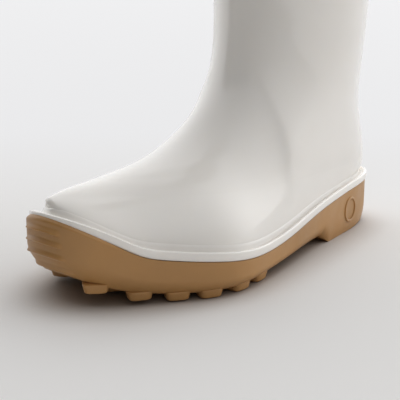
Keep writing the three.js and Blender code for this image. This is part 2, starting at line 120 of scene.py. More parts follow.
# Soft creases over the vamp: place along the ridge from toe (0) to ankle (1), angle round the
# boot in degrees from the front, half length in degrees, width in rows, depth in millimetres
CREASES = (
    {"row": 0.31, "around": 44.0, "reach": 34.0, "slant": 0.05, "width": 0.034, "depth": 0.14},
    {"row": 0.38, "around": 40.0, "reach": 30.0, "slant": 0.07, "width": 0.030, "depth": -0.11},
    {"row": 0.44, "around": 50.0, "reach": 28.0, "slant": 0.08, "width": 0.032, "depth": 0.13},
    {"row": 0.22, "around": 60.0, "reach": 34.0, "slant": 0.02, "width": 0.040, "depth": -0.14},
    {"row": 0.33, "around": -44.0, "reach": 34.0, "slant": -0.06, "width": 0.034, "depth": 0.14},
    {"row": 0.42, "around": -40.0, "reach": 28.0, "slant": -0.08, "width": 0.030, "depth": -0.11},
)

# Slow waves of the moulded skin: waves up and round the boot, how they wander, height in
# millimetres, and the rows between which they are full, with how fast they fade beyond
WAVES = {"up": 9.0, "wander": 2.1, "round": 3.0, "drift": 4.0, "height": 0.07}
WAVE_ROWS = (0.06, 0.93)
WAVE_FADE = 12.0


def length(name, description, default):
    """Setting that holds a length."""
    return bpy.props.FloatProperty(
        name=name, description=description, default=default, unit="LENGTH")


def tone(name, description, default):
    """Setting that holds a colour."""
    return bpy.props.FloatVectorProperty(
        name=name, description=description, subtype="COLOR", size=4, default=default)


class BootSizes(bpy.types.PropertyGroup):
    """Driving sizes of the boot."""

    sole_length: length("Sole length", "Length of the outsole", 0.300)
    ball_width: length("Ball width", "Width of the outsole at the ball", 0.119)
    instep_height: length("Instep height", "Height where the leg begins", 0.150)
    boot_height: length("Boot height", "Height of the collar", 0.370)
    collar_depth: length("Collar depth", "Front to back at the collar", 0.150)
    collar_width: length("Collar width", "Side to side at the collar", 0.121)
    wall: length("Wall", "Thickness of the upper", 0.0026)
    hem_height: length("Hem height", "Height of the raised hem", 0.013)
    hem_proud: length("Hem step", "How far the hem stands proud", 0.0013)
    kick_proud: length("Kick ledge", "How far the heel ledge stands out", 0.002)
    kick_height: length("Kick ledge height", "Height of the heel ledge", 0.012)
    kick_width: length("Kick ledge width", "Width of the heel ledge", 0.034)
    sole_height: length("Sole height", "Height of the sole's edge at the heel", 0.034)
    edge: length("Edge thickness", "Ledge between upper and sole edge", 0.0038)
    toe_guard: length("Toe guard", "Thickness of the guard at the toe", 0.0093)
    rounding: length("Edge rounding", "Rounding of the lower edge", 0.005)
    heel_length: length("Heel length", "Length of the heel block", 0.093)
    breast_slope: length("Breast slope", "Slope of the heel's front face", 0.009)
    heel_bevel: length("Heel bevel", "Lift at the back of the heel", 0.0034)
    stud_depth: length("Stud depth", "Height of the forefoot studs", 0.0044)
    stud_length: length("Stud length", "Length of a stud along the edge", 0.014)
    stud_width: length("Stud width", "Width of a stud across the edge", 0.012)
    stud_pitch: length("Stud pitch", "Step from stud to stud", 0.0214)
    stud_inset: length("Stud inset", "Stud row inside the rounded edge", 0.005)
    rib_count: bpy.props.IntProperty(
        name="Toe ribs", description="Ribs on the toe guard", default=4)
    rib_proud: length("Rib height", "How far the ribs stand out", 0.0017)
    rib_reach: length("Rib reach", "Ribs to each side of the toe", 0.019)
    rib_narrowing: length("Rib narrowing", "How much shorter the top rib is", 0.005)
    band_height: length("Band height", "Height of the white band", 0.0058)
    band_proud: length("Band overhang", "How far the band stands over the sole", 0.0008)
    insole_thickness: length("Insole", "Thickness of the insole", 0.003)
    ring_diameter: length("Heel ring", "Diameter of the plain ring on the heel", 0.019)
    ring_thickness: length("Ring width", "Width of the ring's rim", 0.002)
    gap: length("Clearance", "Gap between pieces", 0.0003)


class BootColours(bpy.types.PropertyGroup):
    """Colours of the boot."""

    upper: tone("Upper", "Glossy white skin", (0.925, 0.885, 0.832, 1.0))
    sole: tone("Sole", "Tan rubber", (0.46, 0.243, 0.084, 1.0))
    lining: tone("Lining", "Knitted lining", (0.62, 0.61, 0.58, 1.0))
    insole: tone("Insole", "Insole cover", (0.50, 0.48, 0.44, 1.0))
    floor: tone("Floor", "Studio floor", (0.86, 0.85, 0.84, 1.0))


def clamp01(values):
    """Values limited to the range from 0 to 1."""
    return np.clip(values, 0.0, 1.0)


def smooth(values):
    """Smooth step from 0 to 1."""
    t = clamp01(values)
    return t * t * (3.0 - 2.0 * t)


def mix(a, b, t):
    """Straight blend from a to b."""
    return a + (b - a) * t


def natural_spline(xs, ys):
    """Natural cubic spline through a few points, as a function of an array."""
    xs = np.asarray(xs, float)
    ys = np.asarray(ys, float)
    count = len(xs)
    matrix = np.eye(count)
    right = np.zeros(count)
    steps = np.diff(xs)
    for i in range(1, count - 1):
        matrix[i, i - 1] = steps[i - 1]
        matrix[i, i] = 2.0 * (steps[i - 1] + steps[i])
        matrix[i, i + 1] = steps[i]
        right[i] = 6.0 * ((ys[i + 1] - ys[i]) / steps[i] - (ys[i] - ys[i - 1]) / steps[i - 1])
    bend = np.linalg.solve(matrix, right)

    def value(x):
        x = np.asarray(x, float)
        k = np.clip(np.searchsorted(xs, x, side="left") - 1, 0, count - 2)
        step = steps[k]
        a = (xs[k + 1] - x) / step
        b = (x - xs[k]) / step
        curve = ((a ** 3 - a) * bend[k] + (b ** 3 - b) * bend[k + 1]) * step * step / 6.0
        return a * ys[k] + b * ys[k + 1] + curve

    return value


class BootShape:
    """Surfaces of the boot from its sizes, in the sole's own frame, in metres."""

    def __init__(self, sizes):
        self.s = sizes
        self.toe = -sizes.sole_length / 2
        self.heel = sizes.sole_length / 2
        self.upper_toe = self.toe + sizes.toe_guard
        self.upper_heel = self.heel - sizes.edge
        self.breast = self.heel - sizes.heel_length
        along = SOLE_OUTLINE["along"]
        self._centre = natural_spline(along, SOLE_OUTLINE["centre"])
        self._half = natural_spline(along, SOLE_OUTLINE["half"])
        side = SOLE_SIDE["along"]
        self._rise = natural_spline(side, SOLE_SIDE["rise"])
        self._floor = natural_spline(side, SOLE_SIDE["floor"])
        self._top = natural_spline(side, SOLE_SIDE["top"])
        self._rows = self._upper_rows()
        self.ankle_row = len(FOOT_SECTIONS["front"]) / (self._count - 1)
        ridge_rows = np.linspace(0.0, self.ankle_row, 600)
        self._ridge_y = self._rows["front_y"](ridge_rows)
        self._ridge_z = self._rows["front_z"](ridge_rows)

    def share(self, y):
        """Place along the sole, from the toe (0) to the heel (1)."""
        return clamp01((y - self.toe) / self.s.sole_length)

    def centre(self, y):
        return self.s.ball_width * self._centre(self.share(y))

    def half(self, y):
        return self.s.ball_width * self._half(self.share(y))

    def end_rounding(self, distance, zone):
        left = 1.0 - clamp01(distance / zone)
        return np.sqrt(np.maximum(0.0, 1.0 - left ** END_POWER))

    def ends(self, y, front, back):
        """How full the outline is between its rounded ends."""
        full = self.end_rounding(y - front, TOE_ZONE * self.s.sole_length)
        return full * self.end_rounding(back - y, HEEL_ZONE * self.s.sole_length)

    def plan(self, angle, inset, toe_inset, heel_inset):
        """Plan of a sole-like outline; angle runs from the toe round the outer side."""
        station = (1.0 - np.cos(angle)) / 2.0
        side = np.sign(np.sin(angle))
        front = self.toe + toe_inset
        back = self.heel - heel_inset
        y = mix(front, back, station)
        ends = self.ends(y, front, back)
        return self.centre(y) + side * (self.half(y) - inset) * ends, y

    def forefoot_under(self, y):
        return self.s.stud_depth + self.s.sole_height * np.maximum(0.0, self._rise(self.share(y)))

    def heel_under(self, y):
        start = mix(self.breast, self.heel, HEEL_BEVEL_START)
        share = clamp01((y - start) / (self.heel - start))
        return self.s.heel_bevel * share ** HEEL_BEVEL_POWER

    def under(self, y):
        blend = clamp01((y - self.breast) / self.s.breast_slope)
        return mix(self.forefoot_under(y), self.heel_under(y), blend)

    def floor(self, y):
        return self.s.sole_height * self._floor(self.share(y))

    def top(self, y):
        return self.s.sole_height * self._top(self.share(y))

    def feather(self, y):
        return self.top(y) + self.s.gap + self.s.band_height

    def _upper_rows(self):
        s = self.s
        foot = {key: np.array(values) for key, values in FOOT_SECTIONS.items()}
        leg = {key: np.array(values) for key, values in LEG_SECTIONS.items()}
        leg_back = self.upper_heel - s.sole_length * leg["back"]
        leg_up = mix(s.instep_height, s.boot_height, leg["up"])
        columns = {
            "front_y": (
                self.upper_toe + s.sole_length * foot["front"],
                leg_back - s.collar_depth * leg["depth"]),
            "front_z": (s.instep_height * foot["front_up"], leg_up),
            "back_y": (self.upper_heel - s.sole_length * foot["back"], leg_back),
            "back_z": (s.instep_height * foot["back_up"], leg_up),
            "leg": (foot["leg"], np.ones(len(leg_up))),
            "swell": (foot["swell"], np.zeros(len(leg_up))),
            "leg_half": (
                np.full(len(foot["leg"]), s.collar_width / 2 * ANKLE_WIDE),
                s.collar_width / 2 * leg["wide"]),
        }
        self._count = len(foot["leg"]) + len(leg_up)
        order = np.arange(self._count) / (self._count - 1)
        return {key: natural_spline(order, np.concatenate(pair)) for key, pair in columns.items()}

    def ridge(self, y):
        inside = np.interp(y, self._ridge_y, self._ridge_z)
        beyond = np.maximum(0.0, y - self._ridge_y[-1]) * ANKLE_SLOPE
        return inside + beyond

    def row_at_height(self, z):
        rows = np.linspace(self.ankle_row, 1.0, 2000)
        return float(np.interp(z, self._rows["front_z"](rows), rows))

    def kick_ledge(self, x, y, z):
        """How far the ledge across the back of the heel stands out."""
        s = self.s
        across = clamp01(1.0 - (2.0 * x / s.kick_width) ** 2)
        base = self.feather(self.heel) + s.band_height / KICK_BASE_PART
        rise = smooth((z - base) / s.kick_height)
        fall = smooth((z - base - s.kick_height) / (s.kick_height / KICK_FALL_PART))
        return np.where(y > 0, s.kick_proud * across * (rise - fall), 0.0)

    def upper_plain(self, row, angle):
        """Outer surface of the upper without its relief: row 0 is the sole edge, 1 the collar."""
        s = self.s
        station = (1.0 - np.cos(angle)) / 2.0
        side = np.sign(np.sin(angle))
        front_y = self._rows["front_y"](row)
        front_z = self._rows["front_z"](row)
        back_y = self._rows["back_y"](row)
        y = mix(front_y, back_y, station)
        plane = mix(front_z, self._rows["back_z"](row), station)
        settle = clamp01(1.0 - row / SETTLE_ROW) ** 2
        z = mix(plane, self.feather(y), settle)
        room = self.ridge(y) - self.feather(y)
        below = (self.ridge(y) - z) - (self.ridge(front_y) - front_z)
        lift = np.where(room > 1e-9, clamp01(1.0 - below / np.maximum(room, 1e-9)), 0.0)
        raised = lift * (1.0 - settle * UPRIGHT_FOOT)
        power = mix(TOE_ARCH_POWER, ARCH_POWER, smooth(self.share(y) / TOE_ZONE))
        arch = np.sqrt(np.maximum(0.0, 1.0 - raised ** power))
        ends = self.ends(y, self.upper_toe, back_y)
        rear = smooth((self.share(y) - SWELL_START) / (1.0 - SWELL_START))
        swell = 1.0 + self._rows["swell"](row) * rear
        foot = (self.half(y) - s.edge) * ends * arch * swell
        around = 2.0 * np.sqrt(np.maximum(0.0, station * (1.0 - station)))
        leg = clamp01(self._rows["leg"](row))
        half = mix(foot, self._rows["leg_half"](row) * around, leg)
        shifted = self.centre(y) - s.ball_width * RIDGE_SHIFT * raised ** 2
        centre = mix(shifted, s.ball_width * LEG_OFFSET, smooth(leg))
        x = centre + side * half
        return stack(x, y + self.kick_ledge(side * half, y, z), z)

    def upper_normal(self, row, angle):
        """Outward normal of the plain upper."""
        step = 1e-3
        row = np.clip(row, step, 1.0 - step)
        around = self.upper_plain(row, angle + step) - self.upper_plain(row, angle - step)
        up = self.upper_plain(row + step, angle) - self.upper_plain(row - step, angle)
        normal = np.cross(around, up)
        return normal / np.maximum(np.linalg.norm(normal, axis=-1, keepdims=True), 1e-12)

    def creases(self, row, angle):
        """Depth of the soft creases and slow waves of the moulded skin, outward positive."""
        turn = np.degrees(np.arctan2(np.sin(angle), np.cos(angle)))
        total = np.zeros(np.broadcast(row, angle).shape)
        for crease in CREASES:
            across = (turn - crease["around"]) / crease["reach"]
            line = crease["row"] + crease["slant"] * across
            fade = smooth(1.0 - np.abs(across))
            trough = np.exp(-((row - line) / crease["width"]) ** 2)
            total = total - crease["depth"] * MM * fade * trough
        wave = np.sin(WAVES["up"] * row * math.pi + WAVES["wander"] * np.sin(angle))
        wave = wave * np.sin(WAVES["round"] * angle + WAVES["drift"] * row)
        calm = smooth((row - WAVE_ROWS[0]) * WAVE_FADE) * smooth((WAVE_ROWS[1] - row) * WAVE_FADE)
        return total + WAVES["height"] * MM * wave * calm

    def upper_outer(self, row, angle, proud=0.0):
        relief = self.creases(row, angle) + proud
        return self.upper_plain(row, angle) + self.upper_normal(row, angle) * relief[..., None]

    def upper_inner(self, row, angle, depth):
        return self.upper_plain(row, angle) - self.upper_normal(row, angle) * depth


def own_origin(shape):
    """Where the sole's own origin lies in the row frame, from the box of the band."""
    low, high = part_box("sole_band")
    angle = np.linspace(0.0, 2.0 * math.pi, 721)
    proud = shape.s.band_proud
    x, y = shape.plan(angle, -proud, -proud, -proud)
    return np.array([
        (low[0] + high[0] - x.min() - x.max()) / 2,
        (low[1] + high[1] - y.min() - y.max()) / 2,
        0.0,
    ])


def boot_shape():
    """The shape for the current sizes."""
    return BootShape(bpy.context.scene.boot_sizes)


def ring_faces(rings, count, close=False):
    """Quads between neighbouring rings of equal length, facing out for rings that rise."""
    faces = []
    last = rings if close else rings - 1
    for r in range(last):
        n = (r + 1) % rings
        for i in range(count):
            j = (i + 1) % count
            faces.append((r * count + i, r * count + j, n * count + j, n * count + i))
    return faces


def cap_rows(ring, columns):
    """Points across a ring between its outer and inner side, one row per station."""
    count = len(ring)
    half = count // 2
    outer = ring[1:half]
    inner = ring[:half:-1]
    t = np.linspace(0.0, 1.0, columns + 1)[1:-1]
    return outer[:, None, :] * (1 - t[None, :, None]) + inner[:, None, :] * t[None, :, None]


def cap_faces(first, count, start, columns, flip):
    """Quads that close a ring of points with the rows made by cap_rows."""
    half = count // 2
    inner_columns = columns - 1
    faces = []

    def row_index(k, c):
        if c == 0:
            return first + k
        if c == columns:
            return first + (count - k) % count
        return start + (k - 1) * inner_columns + c - 1

    for k in range(1, half - 1):
        for c in range(columns):
            faces.append((
                row_index(k, c), row_index(k + 1, c), row_index(k + 1, c + 1), row_index(k, c + 1)))
    for c in range(columns):
        faces.append((first, row_index(1, c), row_index(1, c + 1)))
        faces.append((first + half, row_index(half - 1, c + 1), row_index(half - 1, c)))
    return [face[::-1] for face in faces] if flip else faces


def capped_solid(rings, columns, under_height, over_height):
    """Points and faces of a lofted wall, closed by a bottom and a top of the given heights."""
    under = cap_rows(rings[0], columns)
    over = cap_rows(rings[-1], columns)
    under[..., 2] = under_height(under)
    over[..., 2] = over_height(over)
    wall = np.concatenate(rings)
    count = len(rings[0])
    start = len(wall)
    faces = ring_faces(len(rings), count)
    faces += cap_faces(0, count, start, columns, True)
    faces += cap_faces(start - count, count, start + under[..., 0].size, columns, False)
    return np.concatenate([wall, under.reshape(-1, 3), over.reshape(-1, 3)]), faces


def add_piece(name, points, faces, nodes, material, smooth_angle=40.0):
    """New mesh object in the row frame that stands for CAD nodes, from points in the sole's."""
    points = points + own_origin(boot_shape())
    mesh = bpy.data.meshes.new(name)
    mesh.from_pydata([tuple(p) for p in points], [], faces)
    mesh.validate()
    mesh.update()
    mesh.shade_smooth()
    mesh.set_sharp_from_angle(angle=math.radians(smooth_angle))
    piece = bpy.data.objects.new(name, mesh)
    bpy.context.scene.collection.objects.link(piece)
    piece.data.materials.append(material)
    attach(piece, "root")
    if nodes:
        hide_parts(*nodes)
    return piece


def add_rings(name, rings, nodes, material, smooth_angle=40.0):
    """Piece lofted through rings, the last one joined to the first."""
    faces = ring_faces(len(rings), len(rings[0]), close=True)
    return add_piece(name, np.concatenate(rings), faces, nodes, material, smooth_angle)


def stack(x, y, z):
    """Points from arrays of their coordinates."""
    return np.stack([x, y, z], axis=-1)


def angles(count):
    """Equal angles round the boot, the toe first."""
    return np.arange(count) * 2.0 * math.pi / count


def plan_ring(shape, angle, inset, toe_inset, heel_inset, height):
    """Ring of a sole-like outline with a height for each place along the sole."""
    x, y = shape.plan(angle, inset, toe_inset, heel_inset)
    return stack(x, y, height(y))


def new_material(name):
    """Empty node material with its shader and object coordinates."""
    material = bpy.data.materials.new(name)
    material.use_nodes = True
    tree = material.node_tree
    shader = tree.nodes["Principled BSDF"]
    place = tree.nodes.new("ShaderNodeTexCoord")
    return material, tree, shader, place.outputs["Object"]


def feed(tree, node, **values):
    """Give a node's own sockets constants, or the values of other sockets."""
    for name, value in values.items():
        entry = node.inputs[name.replace("_", " ")]
        if isinstance(value, bpy.types.NodeSocket):
            tree.links.new(value, entry)
        else:
            entry.default_value = value
    return node


def add_node(tree, kind, **values):
    """New node with its sockets fed."""
    return feed(tree, tree.nodes.new(kind), **values)


def math_node(tree, operation, first, second):
    """Math node of a socket and a second socket or a number."""
    node = tree.nodes.new("ShaderNodeMath")
    node.operation = operation
    tree.links.new(first, node.inputs[0])
    if isinstance(second, float):
        node.inputs[1].default_value = second
    else:
        tree.links.new(second, node.inputs[1])
    return node.outputs[0]


def dot_node(tree, vector, direction):
    """How far a vector reaches along a fixed direction."""
    node = tree.nodes.new("ShaderNodeVectorMath")
    node.operation = "DOT_PRODUCT"
    node.inputs[1].default_value = direction
    tree.links.new(vector, node.inputs[0])
    return node.outputs["Value"]


def noise(tree, place, scale, detail=3.0, roughness=0.5, stretch=(1.0, 1.0, 1.0)):
    """Noise on object coordinates, with an optional stretch."""
    mapping = add_node(tree, "ShaderNodeMapping", Scale=stretch, Vector=place)
    return add_node(
        tree, "ShaderNodeTexNoise", Scale=scale, Detail=detail, Roughness=roughness,
        Vector=mapping.outputs["Vector"]).outputs["Fac"]


def ramp(tree, value, low, high, from_low=0.35, from_high=0.65):
    """Value mapped from one range to another."""
    return add_node(
        tree, "ShaderNodeMapRange", From_Min=from_low, From_Max=from_high, To_Min=low, To_Max=high,
        Value=value).outputs["Result"]


def blend_colours(tree, factor, first, second):
    """Mix of two colours, each fixed or a socket."""
    node = tree.nodes.new("ShaderNodeMix")
    node.data_type = "RGBA"
    return feed(tree, node, A=first, B=second, Factor=factor).outputs["Result"]


def shade(colour, factor):
    """A colour made lighter or darker."""
    return tuple(min(1.0, channel * factor) for channel in colour[:3]) + (1.0,)


def mottle(tree, clouds, colour, darkest, lightest):
    """Colour that drifts between a darker and a lighter shade."""
    drift = ramp(tree, clouds, 0.0, 1.0)
    return blend_colours(tree, drift, shade(colour, darkest), shade(colour, lightest))


def relief(tree, *layers):
    """Bumps over each other, the coarse one first: height, strength and distance of each."""
    earlier = {}
    for height, strength, distance in layers:
        node = add_node(
            tree, "ShaderNodeBump", Strength=strength, Distance=distance, Height=height, **earlier)
        earlier = {"Normal": node.outputs["Normal"]}
    return earlier["Normal"]


def glossy_white(name):
    """Glossy white moulded skin: faint clouds, smears in its gloss and slow ripples."""
    colour = tuple(bpy.context.scene.boot_colours.upper)
    material, tree, shader, place = new_material(name)
    clouds = noise(tree, place, scale=9.0, detail=4.0)
    smears = noise(tree, place, scale=26.0, detail=5.0, roughness=0.6, stretch=(1.0, 1.0, 0.4))
    ripples = noise(tree, place, scale=30.0, detail=2.0, roughness=0.4)
    grain = noise(tree, place, scale=700.0, detail=2.0)
    feed(
        tree, shader,
        Base_Color=mottle(tree, clouds, colour, darkest=0.985, lightest=1.015),
        Roughness=ramp(tree, smears, low=0.07, high=0.15),
        IOR=1.5, Coat_Weight=0.65, Coat_Roughness=0.03,
        Subsurface_Weight=0.12, Subsurface_Radius=(0.006, 0.005, 0.004), Subsurface_Scale=1.0,
        Normal=relief(tree, (ripples, 0.10, 0.0010), (grain, 0.08, 0.0001)))
    return material


def tan_rubber(name):
    """Satin tan rubber with a fine grain and slightly darker clouds."""
    colour = tuple(bpy.context.scene.boot_colours.sole)
    material, tree, shader, place = new_material(name)
    clouds = noise(tree, place, scale=14.0, detail=5.0, roughness=0.55)
    sheen = noise(tree, place, scale=60.0, detail=4.0)
    grain = noise(tree, place, scale=900.0, roughness=0.6)
    waves = noise(tree, place, scale=55.0, detail=2.0)
    feed(
        tree, shader,
        Base_Color=mottle(tree, clouds, colour, darkest=0.90, lightest=1.08),
        Roughness=ramp(tree, sheen, low=0.36, high=0.50), IOR=1.5,
        Subsurface_Weight=0.08, Subsurface_Radius=(0.004, 0.002, 0.001), Subsurface_Scale=1.0,
        Normal=relief(tree, (waves, 0.12, 0.0006), (grain, 0.2, 0.00012)))
    return material


def knitted_cloth(name, colour, scale):
    """Fine knit: rows of small ribs with fuzz and a soft sheen."""
    material, tree, shader, place = new_material(name)
    wave = add_node(
        tree, "ShaderNodeTexWave", Scale=scale, Distortion=1.2, Detail=2.0, Vector=place)
    wave.bands_direction = "Z"
    fuzz = noise(tree, place, scale=900.0, roughness=0.6)
    feed(
        tree, shader,
        Base_Color=mottle(tree, fuzz, colour, darkest=0.82, lightest=1.08),
        Roughness=0.92, Sheen_Weight=0.25,
        Normal=relief(tree, (wave.outputs["Fac"], 0.5, 0.0004), (fuzz, 0.4, 0.0002)))
    return material


def get_material(name, maker, *values):
    """Material by name, made on first use."""
    found = bpy.data.materials.get(name)
    return found if found is not None else maker(name, *values)


class BOOT_OT_upper(bpy.types.Operator):
    """Hollow white upper: vamp, heel and shaft in one shell, with its hem and heel ledge"""

    bl_idname = "boot.upper"
    bl_label = "Upper"

    around = 280
    rows = 190
    skirt_rows = 4
    # Step up to the hem: how far past the hem's lower edge, in heights of the step, and its share
    hem_step = ((0.3, 0.35), (0.7, 0.8), (1.3, 1.0))
    hem_face = (0.6, 0.3)
    rim_points = 9

    def execute(self, context):
        shape = boot_shape()
        s = shape.s
        angle = angles(self.around)
        rings = []
        x, y = shape.plan(angle, s.edge, s.toe_guard, s.edge)
        for share in np.linspace(0.0, 1.0, self.skirt_rows + 1)[:-1]:
            z = mix(shape.floor(y) + s.gap, shape.feather(y), share)
            rings.append(stack(x, y, z))
        hem_row = shape.row_at_height(s.boot_height - s.hem_height)
        for row in np.linspace(0.0, hem_row, self.rows):
            rings.append(shape.upper_outer(np.full(self.around, row), angle))
        rings.extend(self.hem_rings(shape, angle))
        for row in np.linspace(1.0, 0.0, self.rows // 2)[1:]:
            rings.append(shape.upper_inner(np.full(self.around, row), angle, s.wall))
        inner_skirt = (s.edge + s.wall, s.toe_guard + s.wall, s.edge + s.wall)
        rings.append(plan_ring(shape, angle, *inner_skirt, lambda y: shape.floor(y) + s.gap))
        add_rings("upper_shell", rings, ["upper"],
                  get_material(WHITE, glossy_white), 60.0)
        return {"FINISHED"}

    def hem_rings(self, shape, angle):
        """Rounded step up to the hem, and the rounded rim down to the inner wall."""
        s = shape.s
        steps = [(s.hem_height - s.hem_proud * past, share) for past, share in self.hem_step]
        steps += [(s.hem_height * part, 1.0) for part in self.hem_face]
        rings = []
        for down, share in steps:
            row = np.full(self.around, shape.row_at_height(s.boot_height - down))
            rings.append(shape.upper_outer(row, angle, s.hem_proud * share))
        radius = (s.wall + s.hem_proud) / 2
        for turn in np.linspace(0.0, 180.0, self.rim_points):
            out = s.hem_proud - radius + radius * math.cos(math.radians(turn))
            up = s.boot_height - radius + radius * math.sin(math.radians(turn))
            row = np.full(self.around, shape.row_at_height(min(up, s.boot_height)))
            ring = shape.upper_plain(row, angle) + shape.upper_normal(row, angle) * out
            ring[:, 2] = up
            rings.append(ring)
        return rings


class BOOT_OT_lining(bpy.types.Operator):
    """Thin knitted lining inside the shaft and the foot"""

    bl_idname = "boot.lining"
    bl_label = "Lining"

    around = 160
    rows = 90
    thickness = 0.0007
    below_rim = 0.006
    lowest_row = 0.02
    clearance_part = 3
    stitch_scale = 220.0

    def execute(self, context):
        shape = boot_shape()
        s = shape.s
        angle = angles(self.around)
        top = shape.row_at_height(s.boot_height - self.below_rim)
        rows = np.linspace(self.lowest_row, top, self.rows)
        near, far = [
            [shape.upper_inner(np.full(self.around, row), angle, depth) for row in rows]
            for depth in (s.wall + s.gap / self.clearance_part, s.wall + self.thickness)]
        rings = near + far[::-1]
        colour = tuple(context.scene.boot_colours.lining)
        material = get_material("lining_knit", knitted_cloth, colour, self.stitch_scale)
        add_rings("lining", rings, [], material)
        return {"FINISHED"}


class BOOT_OT_band(bpy.types.Operator):
    """White band on the sole's edge: rounded outer lip and a hollow up to the upper"""

    bl_idname = "boot.band"
    bl_label = "Edge band"

    around = 420
    toe_drop = 0.60
    toe_reach = 0.030
    toe_setback = 0.0022
    # Closed section from its inner foot round: share outwards, share upwards and overhang
    foot_points = (
        (0.0, 0.0, 0.0), (0.5, 0.0, 0.0), (0.97, 0.0, 0.0), (1.0, 0.02, 0.25), (1.0, 0.08, 0.75),
        (1.0, 0.2, 1.0), (1.0, 0.4, 1.05), (1.0, 0.6, 1.0))
    hollow_points = (
        (0.66, 0.85, 0.0), (0.55, 0.70, 0.0), (0.43, 0.62, 0.0), (0.31, 0.66, 0.0),
        (0.20, 0.81, 0.0), (0.11, 1.02, 0.0), (0.02, 1.24, 0.0), (-0.05, 1.42, 0.0),
        (-0.16, 1.55, 0.0), (-0.16, 1.0, 0.0), (0.0, 0.5, 0.0))
    # Lip between them: an arc with its middle and size as shares, and its overhang
    lip_middle = (0.80, 0.74)
    lip_size = (0.20, 0.22)
    lip_overhang = 0.9
    lip_turn = 100.0
    lip_points = 9

    def section(self):
        """All points of the section."""
        arc = []
        for turn in np.linspace(0.0, self.lip_turn, self.lip_points):
            angle = math.radians(turn)
            out = self.lip_middle[0] + self.lip_size[0] * math.cos(angle)
            up = self.lip_middle[1] + self.lip_size[1] * math.sin(angle)
            arc.append((out, up, self.lip_overhang * math.cos(angle / 2)))
        return [*self.foot_points, *arc, *self.hollow_points]

    def execute(self, context):
        shape = boot_shape()
        s = shape.s
        angle = angles(self.around)
        side = s.edge - s.gap
        toe = s.toe_guard - s.gap
        rings = []
        for out, up, proud in self.section():
            def height(y, out=out, up=up):
                drop = self.toe_drop * out * clamp01(1.0 - (y - shape.toe) / self.toe_reach) ** 2
                return shape.top(y) + s.gap + s.band_height * up * (1.0 - drop)
            inset = mix(side, -s.band_proud * proud, out)
            toe_inset = mix(toe, self.toe_setback, out)
            rings.append(plan_ring(shape, angle, inset, toe_inset, inset, height))
        add_rings("edge_band", rings, ["sole_band"],
                  get_material(WHITE, glossy_white), 60.0)
        return {"FINISHED"}


